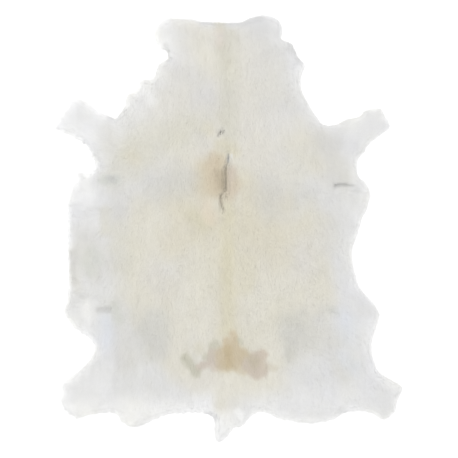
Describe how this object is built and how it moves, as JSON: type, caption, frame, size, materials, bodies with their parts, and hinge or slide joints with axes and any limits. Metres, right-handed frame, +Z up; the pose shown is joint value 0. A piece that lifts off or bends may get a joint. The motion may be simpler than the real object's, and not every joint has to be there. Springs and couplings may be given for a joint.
{
  "type": "reindeer hide",
  "caption": "Pale hair-on hide with neck, legs and tail, laid flat with its short coat up; a rug or throw.",
  "frame": {"origin": "on the surface the hide lies on, under the middle of its length and width", "axes": "+Z up out of the hair side, +Y towards the neck, -Y towards the tail"},
  "size_m": [1.017, 1.25, 0.0149],
  "materials": {
    "coat": "short dense hair, pale cream with tan patches over the rump and withers, matt"
  },
  "bodies": {
    "root": {"hide": "coat"}
  },
  "joints": []
}
